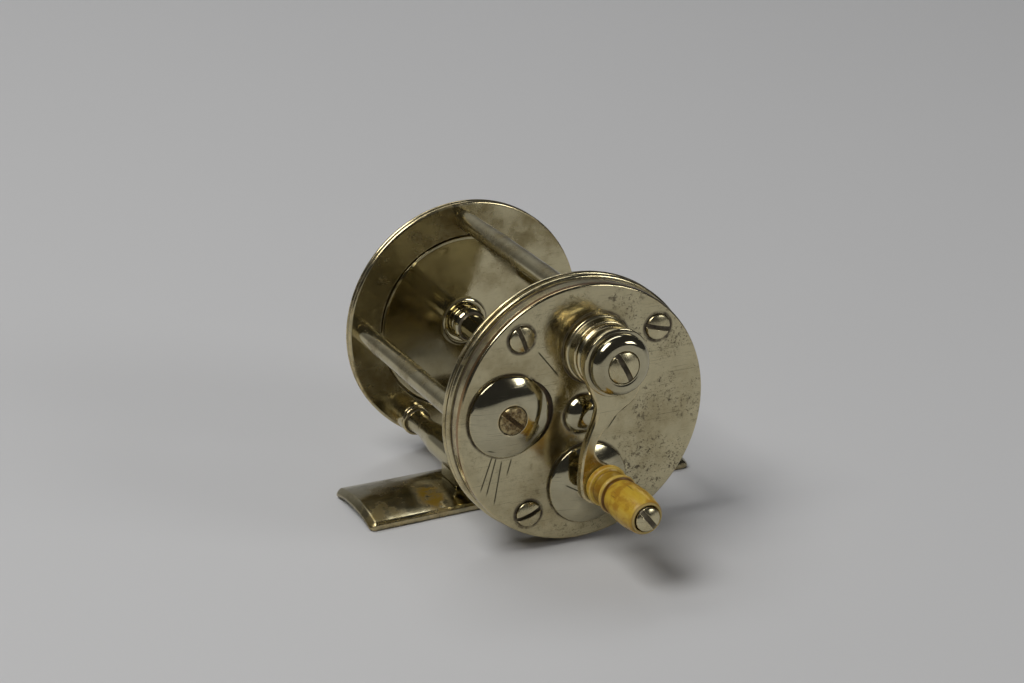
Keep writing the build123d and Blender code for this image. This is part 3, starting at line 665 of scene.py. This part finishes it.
def bone_finish(name):
    """Turned bone: yellow with long pores along the axis, orange clouds, brown turned lines,
    edges painted paler as a highlight, a faint inner glow and a handled polish."""
    c = bpy.context.scene.reel_colours
    w = Wiring(name)
    cloud = w.noise(0.28, 5, 0.6, seed=2)
    grain = w.noise(1.6, 4, 0.6, stretch=(1.0, 0.14, 1.0), seed=4)
    pore = w.noise(3.4, 2, 0.5, stretch=(1.0, 0.08, 1.0), seed=7)
    colour = w.mix(w.span(grain, 0.3, 0.72), tuple(c.bone), shade(c.bone, 0.92, 0.82, 0.62))
    along = w.add("ShaderNodeSeparateXYZ", {0: w.place}).outputs[1]
    turned = w.span(w.corner, 0.02, 0.30)
    for groove, width, depth in KNOB_GROOVES:
        far = w.math("ABSOLUTE", w.math("SUBTRACT", along, groove + SHIFT[1]))
        turned = w.math("MAXIMUM", turned, w.math("MULTIPLY", w.span(far, width, width * 0.4), depth))
    colour = w.mix(w.math("MULTIPLY", w.span(cloud, 0.46, 0.62), 0.75), colour, tuple(c.stain))
    colour = w.mix(turned, colour, shade(c.stain, 0.42))
    pores = w.math("MULTIPLY", w.span(pore, 0.64, 0.72), 0.55)
    colour = w.mix(pores, colour, (0.12, 0.055, 0.012))
    # Painted highlight: the rounded edges are mixed towards pale yellow, as if the light catches them.
    pale = w.math("MULTIPLY", w.span(w.corner, -0.04, -0.25), 0.6, True)
    colour = w.mix(pale, colour, (0.72, 0.56, 0.20))
    height = w.math("SUBTRACT", w.math("MULTIPLY", grain, 0.012), w.math("MULTIPLY", pores, 0.03))
    return w.skin(height, 0.6, Base_Color=colour, Roughness=w.span(cloud, 0.3, 0.7, 0.28, 0.48),
                  Subsurface_Weight=0.08, Subsurface_Radius=(1.0, 0.55, 0.25), Subsurface_Scale=0.0008,
                  Specular_IOR_Level=0.3, Coat_Weight=0.06, Coat_Roughness=0.1)


def paper_finish(name):
    """Seamless paper: pale grey with a barely seen unevenness."""
    c = bpy.context.scene.reel_colours
    w = Wiring(name)
    cloud = w.noise(0.01, 3, 0.5)
    colour = w.mix(cloud, shade(c.floor, 0.985), tuple(c.floor))
    surface = w.add("ShaderNodeBsdfPrincipled", {"Base Color": colour, "Roughness": 0.62,
                                                 "Specular IOR Level": 0.3})
    w.tree.links.new(surface.outputs[0], w.out.inputs[0])
    return w.material


FINISHES = {}


def make_finishes():
    """Fills FINISHES with one material for each of the record's slots, a mirror polish for
    the flanges, and the paper."""
    n = tuple(bpy.context.scene.reel_colours.nickel)
    # Rings of painted contact shade and dirt round the screws, the buttons, the crank collar and the bearing
    # cap.
    rings = [(x, z, 2.75) for x, z, turn in FACE_SCREWS]
    rings += [(*CLICK, 8.0), (*DRAG, 7.9), (*CRANK, 6.9), (0, 0, 3.9)]
    brass, steel = (0.70, 0.52, 0.24), (0.50, 0.50, 0.50)
    metals = (
        # slot, colour, roughness, tarnish, pits, scratches, worn edges, seed, extras
        ("nickel_face", shade(n, 0.90), 0.125, 0.42, 0.8, 0.55, 0.4, 1.0,
         {"strokes": FACE_SCRATCHES, "rings": rings, "spots": 0.9, "brown_floors": True}),
        ("nickel_body", shade(n, 0.9), 0.16, 0.78, 0.5, 0.4, 0.8, 2.0, {}),
        ("nickel_foot", shade(n, 0.66), 0.13, 0.9, 0.3, 0.6, 0.5, 5.0, {"stain": (-19.5, -4.0, 0.0)}),
        ("nickel_bright", shade(n, 0.80, 0.82, 0.88), 0.085, 0.30, 0.25, 0.5, 0.3, 4.0,
         {"ripples": 0.3, "strokes": BUTTON_SCRATCHES}),
        ("nickel_mirror", shade(n, 0.95), 0.035, 0.45, 0.4, 0.15, 0.4, 12.0, {"ripples": 0.25, "bump": 0.35}),
        ("screw_metal", n, 0.2, 0.45, 0.4, 0.4, 0.5, 7.0, {}),
        ("gear_brass", brass, 0.28, 0.3, 0.2, 0.2, 0.2, 9.0, {}),
        ("spring_steel", steel, 0.25, 0.2, 0.2, 0.2, 0.0, 11.0, {}),
    )
    for slot, *values, extras in metals:
        FINISHES[slot] = metal(slot.capitalize().replace("_", " "), *values, **extras)
    FINISHES["rusty_screw"] = rust_metal("Rusty screw")
    FINISHES["bone"] = bone_finish("Bone")
    FINISHES["paper"] = paper_finish("Paper")


def polar(rho, degrees):
    """Point in (x, z) at a radius and an angle from +X towards +Z."""
    a = math.radians(degrees)
    return rho * math.cos(a), rho * math.sin(a)


def sizes():
    """The size settings."""
    return bpy.context.scene.reel_sizes


# ---- operators ------------------------------------------------------------------------------
class REEL_OT_head(bpy.types.Operator):
    """Gear housing with its two beads, face plate with its recesses, and face screws"""
    bl_idname = "reel.head"
    bl_label = "Head"

    def execute(self, context):
        s = sizes()
        e = s.edge
        rim = outline([
            (2.2, 4.4, 0), (24.0, 4.4, 0), (24.0, 1.2, 0), (25.0, 1.2, 0.3), (25.0, 2.85, 1),
            (24.72, 3.0, 1), (24.72, 3.6, 1), arc((25.02, 3.68), (25.58, 4.25), (25.02, 4.82)),
            (24.85, 4.9, 1), (24.85, 5.3, 1), arc((25.02, 5.38), (25.58, 5.88), (25.1, 6.36)),
            (24.9, 6.4, 1), (18.2, 6.4, 1.2), (18.2, 5.2, 1), (2.2, 5.2, 0)], e)
        solid("Gear housing", lathe(rim, s.rim_steps), "nickel_body", "frame", "gear_housing")

        holes = [(x, z, RECESS_R) for x, z in RECESSES]
        holes += [(x, z, 2.58) for x, z, turn in FACE_SCREWS]
        holes += [(0, 0, 2.0), (*CRANK, 2.6)]
        disc = pierced(FACE_R - 0.45, holes, s.rim_steps)
        rows = np.array([[24.55, 0.0], [24.60, 0.0], [24.70, 0.02], [24.80, 0.075], [24.89, 0.17],
                         [24.95, 0.29], [24.985, 0.42], [25.0, 0.56], [25.0, 0.62], [25.0, 1.18]])
        walls = [rim_wall(rows, s.rim_steps, 0, 0, -0.25)]
        for x, z in RECESSES:
            rows = np.array([[7.05, 0.0], [7.02, 0.01], [6.99, 0.05], [6.98, 0.1], [6.98, 0.5],
                             [6.94, 0.58], [6.86, 0.6], [6.8, 0.6], [0.0, 0.6]])
            walls.append(rim_wall(rows, 96, x, z, 0.6, True))
        for x, z, turn in FACE_SCREWS:
            rows = np.array([[2.58, 0.0], [2.55, 0.02], [2.53, 0.06], [2.53, 0.5], [0.0, 0.5]])
            walls.append(rim_wall(rows, 96, x, z, 0.5, True))
        for x, z, r in holes[-2:]:
            walls.append(rim_wall(np.array([[r, 0.0], [r, 1.18]]), 96, x, z, 0.5, True))
        back = pierced(FACE_R, holes[-2:], s.rim_steps, 1.18)
        back = (back[0], [f[:, ::-1] for f in back[1]], back[2])
        solid("Face plate", joined(disc, *walls, back), "nickel_face", "frame", "face_plate")

        heads = [placed(slotted(2.45, 0.5, 0.24, 0.85, 0.8, s.slot_depth), (x, -0.4, z), FRONT, turn + 90)
                 for x, z, turn in FACE_SCREWS]
        solid("Face screws", joined(*heads), "screw_metal", "frame", "face_screws")
        cap = outline([(0, 1.1, 0), (2.0, 1.1, 0), (2.0, 0.0, 0), (3.75, 0.0, 0.4), (3.75, -0.45, 1),
                       arc((3.55, -0.75), (2.6, -1.75), (0, -2.25), 24)], e)
        solid("Head bearing cap", lathe(cap, s.steps), "nickel_bright", "frame", "head_bearing_cap")
        return {"FINISHED"}


class REEL_OT_tail(bpy.types.Operator):
    """Tail plate with its beaded rim, its bearing and the pillar screws behind it"""
    bl_idname = "reel.tail"
    bl_label = "Tail"

    def execute(self, context):
        s = sizes()
        t0, t1 = TAIL_Y, TAIL_Y + TAIL_T
        rim = outline([
            (2.4, t0 + 1.1, 0), (18.2, t0 + 1.1, 1), (18.2, t0, 1), (24.4, t0, 0.6),
            arc((24.6, t0 + 0.05), (24.9, t0 + 0.45), (24.62, t0 + 0.85)), (24.5, t0 + 0.95, 0.6),
            (24.5, t0 + 1.05, 0.6), arc((24.62, t0 + 1.15), (24.9, t0 + 1.55), (24.6, t1 - 0.05)),
            (24.4, t1, 0.6), (2.4, t1, 0)], s.edge)
        solid("Tail plate", lathe(rim, s.rim_steps), "nickel_body", "frame", "tail_plate")
        cap = outline([(0, t1 + 0.02, 0), (5.4, t1 + 0.02, 0.3), (5.4, t1 + 0.6, 1),
                       arc((5.1, t1 + 0.9), (3.6, t1 + 1.95), (0, t1 + 2.4), 24)], s.edge)
        solid("Tail bearing cap", lathe(cap, s.steps), "nickel_body", "frame", "tail_bearing_cap")
        heads = []
        for name, angle in PLAIN_PILLARS + FOOT_PILLARS:
            x, z = polar(PILLAR_RHO, angle)
            heads.append(placed(slotted(2.1, 0.65, 0.2, -0.02, 0.5, 0.65), (x, t1 + 0.4, z), REAR, angle))
        solid("Tail pillar screws", joined(*heads), "screw_metal", "frame", "tail_pillar_screws")
        return {"FINISHED"}


class REEL_OT_pillars(bpy.types.Operator):
    """Three plain pillars and the two shaped ones that carry the foot"""
    bl_idname = "reel.pillars"
    bl_label = "Pillars"

    def execute(self, context):
        s = sizes()
        for name, angle in PLAIN_PILLARS:
            x, z = polar(PILLAR_RHO, angle)
            bar = outline([(0, TENON_Y, 0), (1.2, TENON_Y, 0), (1.2, HEAD_Y, 0), (2.0, HEAD_Y + 0.01, 0.3)]
                          + [(2.0, y, 0) for y in np.linspace(10, 48, 20)]
                          + [(2.0, TAIL_Y - 0.01, 0.3), (0, TAIL_Y - 0.01, 0)], s.edge)
            solid("Pillar " + name, lathe(bar, s.steps, x, z), "nickel_body", "frame", "pillar_" + name)
        for name, angle in FOOT_PILLARS:
            x, z = polar(PILLAR_RHO, angle)
            front = [(0, TENON_Y, 0), (1.2, TENON_Y, 0), (1.2, HEAD_Y, 0), (3.0, HEAD_Y + 0.01, 0.3),
                     (3.0, 9.85, 1), (2.8, 9.98, 1), (2.8, 10.2, 1),
                     arc((2.86, 10.26), (3.05, 10.6), (2.8, 11.0)), (2.4, 11.02, 1),
                     arc((2.35, 11.1), (2.12, 12.8), (2.05, 15.2)),
                     arc((2.06, 15.4), (2.5, 18.9), (2.92, 21.8), 20), (2.95, 22.6, 3)]
            rear = []
            for part in front[:2:-1]:
                part = np.atleast_2d(np.asarray(part, float)).copy()[::-1]
                part[:, 1] = 2 * FOOT_MID - part[:, 1]
                rear.append(part)
            bar = outline(front + rear + [(0, TAIL_Y - 0.01, 0)], s.edge)
            lug = block(x, FOOT_MID, (z + FOOT_TOP - 0.05) / 2, 3.0, 7.0, z - FOOT_TOP - 0.05, 0.3)
            solid("Foot pillar " + name, joined(lathe(bar, s.steps, x, z), lug), "nickel_body", "frame",
                  "foot_pillar_" + name)
        return {"FINISHED"}


class REEL_OT_foot(bpy.types.Operator):
    """Arched foot and the two screws that hold it from below"""
    bl_idname = "reel.foot"
    bl_label = "Foot"

    def execute(self, context):
        s = sizes()
        shape = foot_shape(FOOT_L, FOOT_HALF, FOOT_END_HALF, FOOT_TOP, FOOT_T, FOOT_SAG, s.foot_dent)
        solid("Reel foot", shape, "nickel_foot", "frame", "reel_foot")
        heads = []
        for (name, angle), turn in zip(FOOT_PILLARS, (-30, 30)):
            x, z = polar(PILLAR_RHO, angle)
            heads.append(placed(slotted(1.95, 0.05, 0.05, 0.3, 0.5, 0.4), (x, FOOT_MID, FOOT_TOP - FOOT_T),
                                UNDER, turn))
        solid("Foot screws", joined(*heads), "screw_metal", "frame", "foot_screws")
        return {"FINISHED"}


class REEL_OT_spool(bpy.types.Operator):
    """Arbor with its turned beads between two polished flanges"""
    bl_idname = "reel.spool"
    bl_label = "Spool"

    def execute(self, context):
        s = sizes()
        f0, f1, g0, g1 = 5.35, 6.3, TAIL_Y + 0.1, TAIL_Y + 1.0
        for name, inner, outer in (("head", f1, f0), ("tail", g0, g1)):
            k = math.copysign(1, outer - inner)
            disc = outline([
                (1.2, outer, 0), (17.8, outer, 0.5), (17.8, inner - 0.1 * k, 0.6),
                (17.3, inner - 0.02 * k, 0.6),
                arc((17.0, inner), (11.0, inner + 0.1 * k), (4.6, inner + 0.12 * k), 20), (4.4, inner, 0.6),
                (1.2, inner, 0)], s.edge)
            solid("Spool flange " + name, lathe(disc, s.rim_steps), "nickel_bright", "spool",
                  "spool_%s_flange" % name, finish="nickel_mirror")
        half = [(3.0, f1, 0), (3.0, f1 + 0.45, 1), (2.6, f1 + 0.7, 1),
                arc((2.62, f1 + 0.75), (3.45, f1 + 2.1), (2.62, f1 + 3.5)), (2.6, f1 + 3.7, 1)]
        end = [(2.6, g0 - 3.7, 1), arc((2.62, g0 - 3.5), (3.45, g0 - 2.1), (2.62, g0 - 0.75)),
               (2.6, g0 - 0.7, 1), (3.0, g0 - 0.45, 1), (3.0, g0, 0)]
        bar = outline([(1.2, f1, 0)] + half + end + [(1.2, g0, 0)], s.edge)
        solid("Spool arbor", lathe(bar, s.steps), "nickel_bright", "spool", "spool_arbor")
        return {"FINISHED"}


class REEL_OT_crank(bpy.types.Operator):
    """Collar on the face, turning hub, swept arm, domed cap and its screw"""
    bl_idname = "reel.crank"
    bl_label = "Crank"

    def execute(self, context):
        s = sizes()
        e, (x, z) = s.edge, CRANK
        collar = outline([
            (1.65, 1.1, 0), (2.6, 1.1, 0), (2.6, 0, 0), (6.65, 0.0, 0.4), (6.65, -1.1, 1.2), (6.25, -1.35, 1),
            (5.95, -2.4, 1), (5.9, -2.85, 1), arc((6.0, -2.95), (6.27, -3.25), (6.05, -3.55)),
            (5.9, -3.6, 0.5), (1.65, -3.6, 0)], e)
        solid("Crank collar", lathe(collar, s.steps, x, z), "nickel_body", "frame", "crank_collar")
        hub = outline([
            (1.6, -3.75, 0), (5.7, -3.75, 0.5), (5.95, -4.05, 0.8), (5.55, -4.6, 1), (5.55, -5.15, 1),
            (6.0, -5.55, 1), (6.0, -5.9, 0.5), (1.6, -5.9, 0)], e)
        solid("Crank hub", lathe(hub, s.steps, x, z), "nickel_body", "crank", "crank_hub")
        turns = np.radians(np.arange(-28, 209, 15.8))
        hub_arc = np.column_stack([x + 6.3 * np.cos(turns), z + 6.3 * np.sin(turns)])
        left = [(-2.2, 7.2), (-1.1, 4.4), (-1.4, 1.9), (-2.3, -0.5), (-3.2, -2.9), (-3.8, -5.3), (-4.1, -7.6),
                (-4.25, -9.8)]
        turns = np.radians(np.arange(180, 372, 21))
        eye_arc = np.column_stack([-0.28 + 3.97 * np.cos(turns), -11.0 + 3.97 * np.sin(turns)])
        right = [(2.9, -8.7), (1.2, -7.4), (-0.3, -6.2), (-1.2, -4.8), (-1.15, -3.2), (-0.3, -1.6), (0.9, 0.0),
                 (2.4, 1.7), (4.2, 3.1), (6.0, 4.2), (7.3, 5.8), (7.9, 7.8)]
        ring = curve_through(np.vstack([hub_arc, left, eye_arc[1:], right]))
        solid("Crank arm", slab(ring, -7.9, -5.9, 0.42), "nickel_body", "crank", "crank_arm")
        cap = outline([
            (1.6, -7.9, 0), (6.5, -7.9, 0.6), (6.5, -8.3, 1.2), (6.0, -8.42, 0.8), (5.5, -8.5, 0.8),
            (5.45, -8.62, 0.8), arc((5.7, -8.75), (5.72, -9.75), (3.3, -10.95), 28), (3.16, -10.95, 0.5),
            (3.16, -9.9, 0.3), (1.6, -9.9, 0)], e)
        solid("Crank cap", lathe(cap, s.steps + 40, x, z), "nickel_bright", "crank", "crank_cap")
        head = placed(slotted(3.08, 0.75, 0.3, 1.15, 0.95, 1.05, 60), (x, -11.05, z), FRONT,
                      CRANK_SCREW_TURN + 90)
        solid("Crank screw", head, "screw_metal", "crank", "crank_screw")
        return {"FINISHED"}


class REEL_OT_knob(bpy.types.Operator):
    """Turned bone knob on its spindle, with the screw that keeps it on"""
    bl_idname = "reel.knob"
    bl_label = "Knob"

    def execute(self, context):
        s = sizes()
        x, z = KNOB
        k = KNOB_Y
        turned = outline([
            (1.26, k, 0), (3.6, k, 0.5), arc((3.85, k - 0.15), (4.02, k - 0.8), (3.88, k - 1.4), 12),
            (3.2, k - 1.75, 1), (3.05, k - 2.5, 0.5), (3.05, k - 4.1, 0.6), (3.3, k - 4.5, 0.6),
            arc((3.68, k - 4.65), (3.86, k - 5.15), (3.68, k - 5.6), 12), (3.25, k - 5.85, 1),
            arc((3.32, k - 6.1), (3.78, k - 10.2), (3.45, k - 14.9), 40),
            arc((3.38, k - 15.3), (3.12, k - 16.1), (2.78, k - 16.44), 8), (2.62, k - 16.44, 0),
            (2.5, k - 15.9, 1), (1.26, k - 15.9, 0)], s.edge)
        # The third array is the corner amount: above zero in grooves, below zero on edges, where the bone
        # finish paints its highlight.
        verts, faces, dirt = lathe(turned, 160, x, z)
        a = np.arctan2(verts[:, 2] - z, verts[:, 0] - x)
        r = np.hypot(verts[:, 2] - z, verts[:, 0] - x)
        swing = s.bone_waver * (0.6 * np.sin(2 * a + 0.4) + 0.3 * np.sin(5 * a + verts[:, 1] * 0.7)) - 0.04
        grow = np.where(r > 1.5, 1 + swing / np.maximum(r, 1), 1)
        verts[:, 0], verts[:, 2] = x + r * grow * np.cos(a), z + r * grow * np.sin(a)
        solid("Knob", (verts, faces, dirt), "bone", "knob_turning", "knob")
        head = placed(slotted(2.34, 0.7, 0.3, 0.95, 0.9, 0.75, 60), (x, k - 16.9, z), FRONT,
                      KNOB_SCREW_TURN + 90)
        solid("Knob screw", head, "screw_metal", "crank", "knob_screw")
        return {"FINISHED"}


class REEL_OT_slides(bpy.types.Operator):
    """Domed click and drag buttons with their screws"""
    bl_idname = "reel.slides"
    bl_label = "Click and drag"

    def execute(self, context):
        s = sizes()
        for name, (x, z), turn in (("click", CLICK, CLICK_TURN), ("drag", DRAG, DRAG_TURN)):
            disc = outline([
                (0, -0.1, 0), (7.6, -0.1, 0.4), (7.88, -0.35, 0.6), (7.9, -0.72, 0.8),
                arc((7.7, -0.93), (5.5, -1.88), (3.0, -2.40), 40), (2.86, -2.38, 0.3), (2.86, -1.95, 0.3),
                (0, -1.95, 0)], s.edge)
            solid(name.title() + " button", lathe(disc, s.steps + 72, x, z), "nickel_bright", name,
                  name + "_button")
            head = placed(slotted(2.7, 0.75, 0.3, 0.85, 0.8, 0.9, 60), (x, -2.66, z), FRONT, turn + 90)
            solid(name.title() + " button screw", head, "rusty_screw", name, name + "_button_screw")
        return {"FINISHED"}


class REEL_OT_inside(bpy.types.Operator):
    """Finishes for the gears, shafts, bushes, springs and stems, kept as the frame has them"""
    bl_idname = "reel.inside"
    bl_label = "Inside"

    def execute(self, context):
        slots = {p["node"]: p["material_slot"] for p in frame["record"]["subparts"]}
        for name, obj in frame["nodes"].items():
            obj.data.materials.clear()
            obj.data.materials.append(FINISHES[slots[name]])
        return {"FINISHED"}


class REEL_OT_stage(bpy.types.Operator):
    """Paper sweep, two soft boxes, a wash on the sweep, a dim room and the camera"""
    bl_idname = "reel.stage"
    bl_label = "Stage"

    def execute(self, context):
        scene = context.scene
        t = np.linspace(0, math.pi / 2, 24)
        bend = np.column_stack([1.3 + 0.7 * np.sin(t), FLOOR_Z + 0.7 * (1 - np.cos(t))])
        line = np.vstack([[-1.6, FLOOR_Z], bend, [2.0, 2.6]])
        x = np.array([-2.6, 2.6])
        v = np.array([(a, y, z) for y, z in line for a in x])
        i = np.arange(len(line) - 1) * 2
        mesh = bpy.data.meshes.new("Paper")
        mesh.from_pydata(v.tolist(), [], np.column_stack([i, i + 1, i + 3, i + 2]).tolist())
        mesh.polygons.foreach_set("use_smooth", np.ones(len(mesh.polygons), bool))
        mesh.materials.append(FINISHES["paper"])
        paper = bpy.data.objects.new("Paper", mesh)
        scene.collection.objects.link(paper)
        for name, place, target, size, power, tint in LAMPS:
            lamp = bpy.data.lights.new(name, "AREA")
            lamp.shape = "RECTANGLE"
            lamp.size, lamp.size_y = size
            lamp.energy = power
            lamp.color = tint
            obj = bpy.data.objects.new(name, lamp)
            obj.location = place
            obj.rotation_mode = "QUATERNION"
            obj.rotation_quaternion = (Vector(target) - Vector(place)).to_track_quat("-Z", "Y")
            scene.collection.objects.link(obj)
        world = bpy.data.worlds.new("Studio")
        scene.world = world
        world.use_nodes = True
        room = world.node_tree.nodes["Background"].inputs
        room["Color"].default_value, room["Strength"].default_value = (0.5, 0.5, 0.52, 1), 0.07
        scene.view_settings.view_transform = "Standard"
        scene.view_settings.look = "None"
        data = bpy.data.cameras.new("Camera")
        data.sensor_width = 36.0
        data.lens = CAMERA_LENS
        camera = bpy.data.objects.new("Camera", data)
        camera.location = CAMERA_PLACE
        camera.rotation_mode = "QUATERNION"
        camera.rotation_quaternion = Vector(CAMERA_AIM).to_track_quat("-Z", "Y")
        data.clip_start, data.clip_end = 0.01, 20
        scene.collection.objects.link(camera)
        scene.camera = camera
        return {"FINISHED"}


class REEL_PT_panel(bpy.types.Panel):
    """Lists the reel's settings and build steps"""
    bl_label = "Multiplying reel"
    bl_space_type = "VIEW_3D"
    bl_region_type = "UI"
    bl_category = "Reel"

    def draw(self, context):
        layout = self.layout
        for group in (context.scene.reel_sizes, context.scene.reel_colours):
            box = layout.box()
            for key in group.__annotations__:
                box.prop(group, key)
        for operator in OPERATORS:
            layout.operator(operator.bl_idname)


OPERATORS = (REEL_OT_head, REEL_OT_tail, REEL_OT_pillars, REEL_OT_foot, REEL_OT_spool, REEL_OT_crank,
             REEL_OT_knob, REEL_OT_slides, REEL_OT_inside, REEL_OT_stage)
CLASSES = (ReelSizes, ReelColours) + OPERATORS + (REEL_PT_panel,)


def register():
    """Adds the classes and the settings."""
    for cls in CLASSES:
        bpy.utils.register_class(cls)
    bpy.types.Scene.reel_sizes = bpy.props.PointerProperty(type=ReelSizes)
    bpy.types.Scene.reel_colours = bpy.props.PointerProperty(type=ReelColours)


def unregister():
    """Takes them away again."""
    del bpy.types.Scene.reel_colours
    del bpy.types.Scene.reel_sizes
    for cls in reversed(CLASSES):
        bpy.utils.unregister_class(cls)


def main():
    """Builds everything in order."""
    register()
    make_finishes()
    for operator in OPERATORS:
        group, name = operator.bl_idname.split(".")
        getattr(getattr(bpy.ops, group), name)()


if __name__ == "__main__":
    main()
